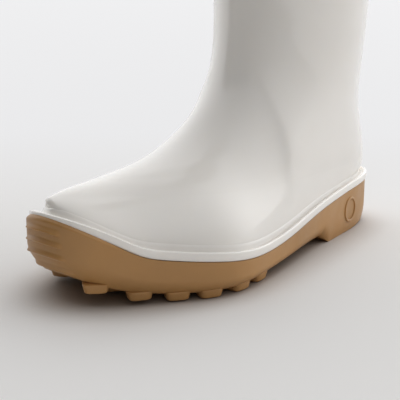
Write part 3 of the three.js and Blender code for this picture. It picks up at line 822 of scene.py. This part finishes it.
class BOOT_OT_outsole(bpy.types.Operator):
    """Tan sole: bowed wall, ribbed toe guard, rounded lower edge, heel block with its grooves"""

    bl_idname = "boot.outsole"
    bl_label = "Outsole"

    around = 560
    levels = 60
    columns = 20
    groove_depth = 0.003
    groove_width = 0.004
    groove_pitch = 0.017
    groove_margin = 0.007
    groove_zone = 0.62
    groove_ease = 0.0004
    groove_ends = 0.002
    # Rounded upper corner at the toe: share of the wall, depth, reach and curve
    corner = 0.10
    corner_depth = 0.0026
    corner_reach = 0.03
    corner_power = 3
    level_power = 1.15
    # Rounding of the lower edge: share of the wall that it takes, how it curves, and how much of
    # it the toe and the heel have
    rounding_zone = 0.45
    rounding_power = 2.2
    rounding_toe = 1.6
    rounding_heel = 0.25
    # Ribs, in steps from rib to rib: room over the top one, height of the lowest, and how far
    # each reaches above and below its crest; then how fast they fade at their ends
    rib_room = 0.35
    rib_first = 0.30
    rib_above = 0.32
    rib_below = 0.20
    rib_fade = 6.0

    def wall_inset(self, shape, level, y):
        """Inset of the wall: a rounded lower edge, sharper round the heel."""
        s = shape.s
        corner = (1.0 - clamp01(level / self.rounding_zone)) ** self.rounding_power
        heel = smooth((y - shape.breast) / s.breast_slope)
        return s.rounding * corner * mix(1.0, self.rounding_heel, heel)

    def ribs(self, shape, x, y, level):
        """Saw-toothed ribs across the toe guard."""
        s = shape.s
        spot = level * (s.rib_count + self.rib_room) - self.rib_first
        near = np.round(spot)
        off = spot - near
        above = 1.0 - clamp01(off / self.rib_above)
        tooth = np.where(off > 0, above, smooth(1.0 + off / self.rib_below))
        valid = (near >= 0) & (near <= s.rib_count - 1)
        reach = np.abs(x - shape.centre(shape.toe)) / (s.rib_reach - s.rib_narrowing * level)
        fade = smooth((1.0 - reach) * self.rib_fade)
        return np.where(valid & (y < 0), s.rib_proud * tooth * fade, 0.0)

    def execute(self, context):
        shape = boot_shape()
        s = shape.s
        angle = angles(self.around)
        rings = []
        for level in np.linspace(0.0, 1.0, self.levels) ** self.level_power:
            x, y = shape.plan(angle, 0.0, 0.0, 0.0)
            inset = self.wall_inset(shape, level, y)
            x, y = shape.plan(angle, inset, inset * self.rounding_toe, inset)
            z = mix(shape.under(y), shape.top(y), level)
            tangent = np.stack([np.roll(x, -1) - np.roll(x, 1), np.roll(y, -1) - np.roll(y, 1)])
            tangent = tangent / np.linalg.norm(tangent, axis=0)
            corner = clamp01((level - 1.0 + self.corner) / self.corner)
            at_toe = smooth(1.0 - (y - shape.toe) / self.corner_reach)
            cut = self.corner_depth * corner ** self.corner_power * at_toe
            out = self.ribs(shape, x, y, level) - cut
            rings.append(stack(x + tangent[1] * out, y - tangent[0] * out, z))
        side = s.edge - s.gap
        toe = s.toe_guard - s.gap
        rings.append(plan_ring(shape, angle, side, toe, side, shape.top))
        rings.append(plan_ring(shape, angle, side, toe, side, shape.floor))
        points, faces = capped_solid(
            rings, self.columns,
            lambda under: shape.under(under[..., 1]) + self.grooves(shape, under),
            lambda over: shape.floor(over[..., 1]))
        add_piece("tan_sole", points, faces, ["outsole"],
                  get_material(TAN, tan_rubber), 50.0)
        return {"FINISHED"}

    def grooves(self, shape, points):
        """Grooves across the heel's tread, short of its edges."""
        s = shape.s
        x = points[..., 0]
        y = points[..., 1]
        first = shape.breast + s.breast_slope + self.groove_pitch - self.groove_width
        count = math.floor(s.heel_length * self.groove_zone / self.groove_pitch)
        depth = np.zeros(x.shape)
        room = shape.half(y) - self.groove_margin - np.abs(x - shape.centre(y))
        inside = smooth(room / self.groove_ends)
        for k in range(count):
            off = np.abs(y - first - k * self.groove_pitch)
            depth = depth + smooth(
                (self.groove_width / 2 + self.groove_ease - off) / (2 * self.groove_ease))
        return depth * inside * self.groove_depth


class BOOT_OT_studs(bpy.types.Operator):
    """Studs under the forefoot, set along both edges, inside them and on the centre line"""

    bl_idname = "boot.studs"
    bl_label = "Studs"

    # How far a stud reaches into the sole, and how much narrower its foot is
    root = 0.002
    taper = 0.0014
    # The rounding draws the blocks in, so they start larger, in points along each side
    fullness = 1.13
    block_points = (3, 3, 5)
    path_turn = 0.8
    path_points = 6000
    look_ahead = 0.001
    settings = ("Length", "Width", "Depth", "Root", "Taper")

    def path(self, shape, side, inset, steps):
        """Places and directions of a row of studs, given in steps of the pitch from the toe tip."""
        angle = np.linspace(0.0, math.pi * self.path_turn, self.path_points) * side
        x, y = shape.plan(angle, inset, inset, inset)
        walked = np.concatenate([[0.0], np.cumsum(np.hypot(np.diff(x), np.diff(y)))])
        along = np.asarray(steps) * shape.s.stud_pitch
        here, there = [
            np.stack([np.interp(at, walked, x), np.interp(at, walked, y)])
            for at in (along, along + self.look_ahead)]
        ahead = stack(*(there - here), np.zeros(len(along)))
        return stack(*here, shape.forefoot_under(here[1])), ahead

    def paths(self, shape):
        """All rows of studs: both edges, the rows inside them and the centre line."""
        s = shape.s
        inset = s.rounding + s.stud_inset
        rows = []
        for side, name in ((1, "outer"), (-1, "inner")):
            rows.append(self.path(shape, side, inset, EDGE_STUDS[name]))
            inner = INNER_STUD_START + np.arange(INNER_STUDS)
            rows.append(self.path(shape, side, inset + s.stud_pitch, inner))
        y = shape.toe + inset + s.stud_pitch * (CENTRE_STUD_START + np.arange(CENTRE_STUDS))
        across = stack(shape.centre(y), y, shape.forefoot_under(y))
        rows.append((across, np.tile([0.0, 1.0, 0.0], (CENTRE_STUDS, 1))))
        return rows

    def execute(self, context):
        shape = boot_shape()
        s = shape.s
        origin = own_origin(shape)
        rows = self.paths(shape)
        places = np.concatenate([row[0] for row in rows]) + origin
        ahead = np.concatenate([row[1] for row in rows])
        mesh = bpy.data.meshes.new("stud_places")
        mesh.from_pydata([tuple(place) for place in places], [], [])
        direction = mesh.attributes.new("ahead", "FLOAT_VECTOR", "POINT")
        direction.data.foreach_set("vector", ahead.ravel())
        paths = bpy.data.objects.new("stud_places", mesh)
        context.scene.collection.objects.link(paths)
        material = get_material(TAN, tan_rubber)
        tree = self.stud_tree(material)
        modifier = paths.modifiers.new("Studs", "NODES")
        modifier.node_group = tree
        sizes = (
            s.stud_length * self.fullness, s.stud_width * self.fullness, s.stud_depth, self.root,
            self.taper)
        values = dict(zip(self.settings, sizes))
        for item in tree.interface.items_tree:
            if item.item_type == "SOCKET" and item.in_out == "INPUT" and item.name in values:
                modifier[item.identifier] = values[item.name]
        depsgraph = context.evaluated_depsgraph_get()
        mesh = bpy.data.meshes.new_from_object(paths.evaluated_get(depsgraph), depsgraph=depsgraph)
        bpy.data.objects.remove(paths)
        bpy.data.node_groups.remove(tree)
        if len(mesh.polygons) == 0:
            raise RuntimeError("the stud tree made no faces")
        mesh.name = "forefoot_studs"
        piece = bpy.data.objects.new("forefoot_studs", mesh)
        context.scene.collection.objects.link(piece)
        mesh.shade_smooth()
        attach(piece, "root")
        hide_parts("outsole")
        return {"FINISHED"}

    def stud_tree(self, material):
        """Tree that sets a tapered, rounded block at each step of the paths."""
        tree = bpy.data.node_groups.new("Studs", "GeometryNodeTree")
        tree.interface.new_socket("Geometry", in_out="INPUT", socket_type="NodeSocketGeometry")
        for name in self.settings:
            socket = tree.interface.new_socket(name, in_out="INPUT", socket_type="NodeSocketFloat")
            socket.subtype = "DISTANCE"
        tree.interface.new_socket("Geometry", in_out="OUTPUT", socket_type="NodeSocketGeometry")
        entry = tree.nodes.new("NodeGroupInput").outputs
        height = math_node(tree, "ADD", entry["Depth"], entry["Root"])
        size = add_node(
            tree, "ShaderNodeCombineXYZ", X=entry["Width"], Y=entry["Length"], Z=height)
        across, along, up = self.block_points
        block = add_node(
            tree, "GeometryNodeMeshCube", Vertices_X=across, Vertices_Y=along, Vertices_Z=up,
            Size=size.outputs["Vector"])
        rounded = add_node(
            tree, "GeometryNodeSubdivisionSurface", Level=2, Edge_Crease=0.0,
            Mesh=self.taper_block(tree, block, entry, height))
        ahead = tree.nodes.new("GeometryNodeInputNamedAttribute")
        ahead.data_type = "FLOAT_VECTOR"
        feed(tree, ahead, Name="ahead")
        align = tree.nodes.new("FunctionNodeAlignRotationToVector")
        align.axis = "Y"
        align.pivot_axis = "AUTO"
        feed(tree, align, Vector=ahead.outputs["Attribute"])
        copies = add_node(
            tree, "GeometryNodeInstanceOnPoints", Points=entry["Geometry"],
            Instance=rounded.outputs["Mesh"], Rotation=align.outputs["Rotation"])
        real = add_node(
            tree, "GeometryNodeRealizeInstances", Geometry=copies.outputs["Instances"])
        paint = add_node(
            tree, "GeometryNodeSetMaterial", Geometry=real.outputs["Geometry"], Material=material)
        add_node(tree, "NodeGroupOutput", Geometry=paint.outputs["Geometry"])
        return tree

    def taper_block(self, tree, block, entry, height):
        """Block drawn in towards its foot, with its top at the root height."""
        place = tree.nodes.new("GeometryNodeInputPosition").outputs["Position"]
        split = add_node(tree, "ShaderNodeSeparateXYZ", Vector=place).outputs
        half = math_node(tree, "MULTIPLY", height, 0.5)
        share = add_node(
            tree, "ShaderNodeMapRange", Value=split["Z"], From_Max=half,
            From_Min=math_node(tree, "MULTIPLY", half, -1.0))
        below_top = math_node(tree, "SUBTRACT", share.outputs["Result"], 1.0)
        moves = {"Z": math_node(tree, "SUBTRACT", entry["Root"], half)}
        for axis, size in (("X", "Width"), ("Y", "Length")):
            ratio = math_node(tree, "DIVIDE", split[axis], entry[size])
            pull = math_node(tree, "MULTIPLY", ratio, entry["Taper"])
            move = math_node(tree, "MULTIPLY", pull, below_top)
            moves[axis] = math_node(tree, "MULTIPLY", move, 2.0)
        offset = add_node(tree, "ShaderNodeCombineXYZ", **moves)
        moved = add_node(
            tree, "GeometryNodeSetPosition", Geometry=block.outputs["Mesh"],
            Offset=offset.outputs["Vector"])
        return moved.outputs["Geometry"]


class BOOT_OT_heel_ring(bpy.types.Operator):
    """Plain raised ring moulded on the outer side of the heel"""

    bl_idname = "boot.heel_ring"
    bl_label = "Heel ring"

    around = 120
    proud = 0.0009
    sunk = 0.0006
    place = 0.47
    above_middle = 0.001
    rim_points = 14

    def execute(self, context):
        shape = boot_shape()
        s = shape.s
        y0 = mix(shape.breast, shape.heel, self.place)
        z0 = (shape.heel_under(y0) + shape.top(y0)) / 2 + self.above_middle
        radius = (s.ring_diameter - s.ring_thickness) / 2
        turns = angles(self.around)
        rings = []
        for turn in angles(self.rim_points):
            across = radius - math.cos(turn) * s.ring_thickness / 2
            rise = mix(-self.sunk, self.proud, (1.0 + math.sin(turn)) / 2)
            y = y0 + across * np.cos(turns)
            z = z0 + across * np.sin(turns)
            station = (y - shape.toe) / s.sole_length
            x, _ = shape.plan(np.arccos(1.0 - 2.0 * station), 0.0, 0.0, 0.0)
            rings.append(stack(x + rise, y, z))
        add_rings("heel_ring", rings, ["outsole"],
                  get_material(TAN, tan_rubber), 60.0)
        return {"FINISHED"}


class BOOT_OT_insole(bpy.types.Operator):
    """Insole sheet on the sole's floor"""

    bl_idname = "boot.insole"
    bl_label = "Insole"

    around = 240
    columns = 16
    stitch_scale = 160.0
    # Rounded edge: share of the thickness and inset
    edge_points = ((0.0, 0.0003), (0.15, 0.0), (0.75, 0.0), (0.93, 0.0003), (1.0, 0.0009))

    def execute(self, context):
        shape = boot_shape()
        s = shape.s
        angle = angles(self.around)
        side = s.edge + s.wall + s.gap
        toe = s.toe_guard + s.wall + s.gap
        rings = []
        for up, inset in self.edge_points:
            def height(y, up=up):
                return shape.floor(y) + s.gap + s.insole_thickness * up
            rings.append(plan_ring(shape, angle, side + inset, toe + inset, side + inset, height))
        points, faces = capped_solid(
            rings, self.columns,
            lambda under: shape.floor(under[..., 1]) + s.gap,
            lambda over: shape.floor(over[..., 1]) + s.gap + s.insole_thickness)
        colour = tuple(context.scene.boot_colours.insole)
        material = get_material("insole_cloth", knitted_cloth, colour, self.stitch_scale)
        add_piece("insole_sheet", points, faces, ["insole"], material)
        return {"FINISHED"}


class BOOT_OT_stage(bpy.types.Operator):
    """Pale floor, soft studio light and the camera at the photographed angle"""

    bl_idname = "boot.stage"
    bl_label = "Stage"

    camera_place = (0.3653, -0.4253, 0.1716)
    azimuth = 42.15
    elevation = 13.66
    focal_pixels = 850.0
    frame_pixels = 400.0
    sensor_width = 36.0
    clip_end = 50.0
    floor_half = 60.0
    # Broad bright parts of the studio: turn from the camera's side and height, both in degrees,
    # how quickly each falls off, and its strength
    dome_lobes = (
        {"turn": -135.0, "height": 15.0, "power": 3.0, "strength": 1.35},
        {"turn": 135.0, "height": 15.0, "power": 3.0, "strength": 1.95},
        {"turn": 50.0, "height": 45.0, "power": 3.0, "strength": 0.54},
        {"turn": 0.0, "height": 90.0, "power": 1.0, "strength": 0.38},
    )
    card_turn = -68.0
    card_distance = 0.8
    card_width = 1.0
    card_height = 0.9
    card_colour = (0.02, 0.02, 0.02, 1.0)
    # The floor's colour is darkened to a painted shadow colour where the boot closes it in (painted
    # shadow), and the floor glows far away
    painted_shadow_reach = 0.055
    painted_shadow_low = 0.25
    painted_shadow_high = 0.80
    painted_shadow_colour = (0.32, 0.27, 0.23, 1.0)
    glow_start = 0.05
    glow_end = 0.50
    glow_colour = (0.77, 0.77, 0.78, 1.0)

    def execute(self, context):
        self.make_camera(context)
        self.make_floor(context)
        self.make_world(context)
        self.make_card(context)
        return {"FINISHED"}

    def make_camera(self, context):
        data = bpy.data.cameras.new("camera")
        data.sensor_width = self.sensor_width
        data.lens = self.focal_pixels / self.frame_pixels * self.sensor_width
        data.clip_end = self.clip_end
        camera = bpy.data.objects.new("camera", data)
        origin = own_origin(boot_shape())
        camera.location = [a + b for a, b in zip(self.camera_place, origin)]
        camera.rotation_euler = [
            math.radians(turn) for turn in (90.0 - self.elevation, 0.0, self.azimuth)]
        context.scene.collection.objects.link(camera)
        context.scene.camera = camera

    def add_sheet(self, context, name, corners, material):
        """One flat face with a material."""
        mesh = bpy.data.meshes.new(name)
        mesh.from_pydata([tuple(corner) for corner in corners], [], [(0, 1, 2, 3)])
        mesh.materials.append(material)
        sheet = bpy.data.objects.new(name, mesh)
        context.scene.collection.objects.link(sheet)
        return sheet

    def make_floor(self, context):
        """Pale floor with a soft contact shadow painted into its colour, lit by itself far behind
        the boot.
        """
        size = self.floor_half
        corners = [(-size, -size, 0), (size, -size, 0), (size, size, 0), (-size, size, 0)]
        colour = tuple(context.scene.boot_colours.floor)
        material, tree, shader, place = new_material("studio_floor")
        behind = dot_node(tree, place, -self.toward(0.0, 1.0))
        glow = ramp(tree, behind, 0.0, 1.0, self.glow_start, self.glow_end)
        # Painted shadow: where ambient occlusion finds the boot near, the floor's base colour is
        # blended towards a dark shadow colour
        contact = add_node(tree, "ShaderNodeAmbientOcclusion", Distance=self.painted_shadow_reach)
        unshaded = ramp(tree, contact.outputs["AO"], 0.0, 1.0, self.painted_shadow_low, self.painted_shadow_high)
        tint = blend_colours(tree, glow, colour, BLACK)
        feed(
            tree, shader,
            Base_Color=blend_colours(tree, unshaded, self.painted_shadow_colour, tint),
            Emission_Color=blend_colours(tree, glow, BLACK, self.glow_colour),
            Emission_Strength=1.0, Roughness=0.7, Specular_IOR_Level=0.1)
        floor = self.add_sheet(context, "floor", corners, material)

    def make_world(self, context):
        """Dark studio with a few broad bright parts round and over the boot."""
        world = bpy.data.worlds.new("studio")
        world.use_nodes = True
        tree = world.node_tree
        background = tree.nodes["Background"]
        place = tree.nodes.new("ShaderNodeTexCoord")
        total = None
        for part in self.dome_lobes:
            height = math.radians(part["height"])
            middle = self.toward(part["turn"], math.cos(height))
            along = dot_node(
                tree, place.outputs["Generated"], (middle[0], middle[1], math.sin(height)))
            lobe = math_node(tree, "POWER", math_node(tree, "MAXIMUM", along, 0.0), part["power"])
            lobe = math_node(tree, "MULTIPLY", lobe, part["strength"])
            total = lobe if total is None else math_node(tree, "ADD", lobe, total)
        feed(tree, background, Color=total, Strength=1.0)
        context.scene.world = world
        context.scene.view_settings.view_transform = "Standard"

    def toward(self, turn, distance):
        """Place on the floor, turned from the camera's side, positive to its right."""
        angle = math.radians(self.azimuth + turn)
        return np.array([math.sin(angle) * distance, -math.cos(angle) * distance, 0.0])

    def make_card(self, context):
        """Dark card beside the camera that the gloss of the shaft mirrors."""
        middle = self.toward(self.card_turn, self.card_distance)
        across = np.array([-middle[1], middle[0], 0.0]) / self.card_distance * self.card_width / 2
        top = np.array([0.0, 0.0, self.card_height])
        corners = [middle - across, middle + across, middle + across + top, middle - across + top]
        material, tree, shader, _ = new_material("dark_card")
        feed(tree, shader, Base_Color=self.card_colour, Roughness=0.9)
        card = self.add_sheet(context, "dark_card", corners, material)


class BOOT_PT_panel(bpy.types.Panel):
    """Panel that lists the steps"""

    bl_idname = "BOOT_PT_panel"
    bl_label = "Rubber boot"
    bl_space_type = "VIEW_3D"
    bl_region_type = "UI"
    bl_category = "Boot"

    def draw(self, context):
        for name in STEPS:
            self.layout.operator("boot." + name)
        for group in (context.scene.boot_sizes, context.scene.boot_colours):
            for name in group.__annotations__:
                self.layout.prop(group, name)


STEPS = ("upper", "lining", "band", "outsole", "studs", "heel_ring", "insole", "stage")

CLASSES = (
    BootSizes,
    BootColours,
    BOOT_OT_upper,
    BOOT_OT_lining,
    BOOT_OT_band,
    BOOT_OT_outsole,
    BOOT_OT_studs,
    BOOT_OT_heel_ring,
    BOOT_OT_insole,
    BOOT_OT_stage,
    BOOT_PT_panel,
)


def register():
    """Add the classes and the settings."""
    for cls in CLASSES:
        bpy.utils.register_class(cls)
    bpy.types.Scene.boot_sizes = bpy.props.PointerProperty(type=BootSizes)
    bpy.types.Scene.boot_colours = bpy.props.PointerProperty(type=BootColours)


def unregister():
    """Take the settings and the classes away."""
    del bpy.types.Scene.boot_colours
    del bpy.types.Scene.boot_sizes
    for cls in reversed(CLASSES):
        bpy.utils.unregister_class(cls)


def main():
    """Build every piece in order."""
    register()
    for name in STEPS:
        result = getattr(bpy.ops.boot, name)()
        if "FINISHED" not in result:
            raise RuntimeError(name + " didn't finish")


if __name__ == "__main__":
    main()
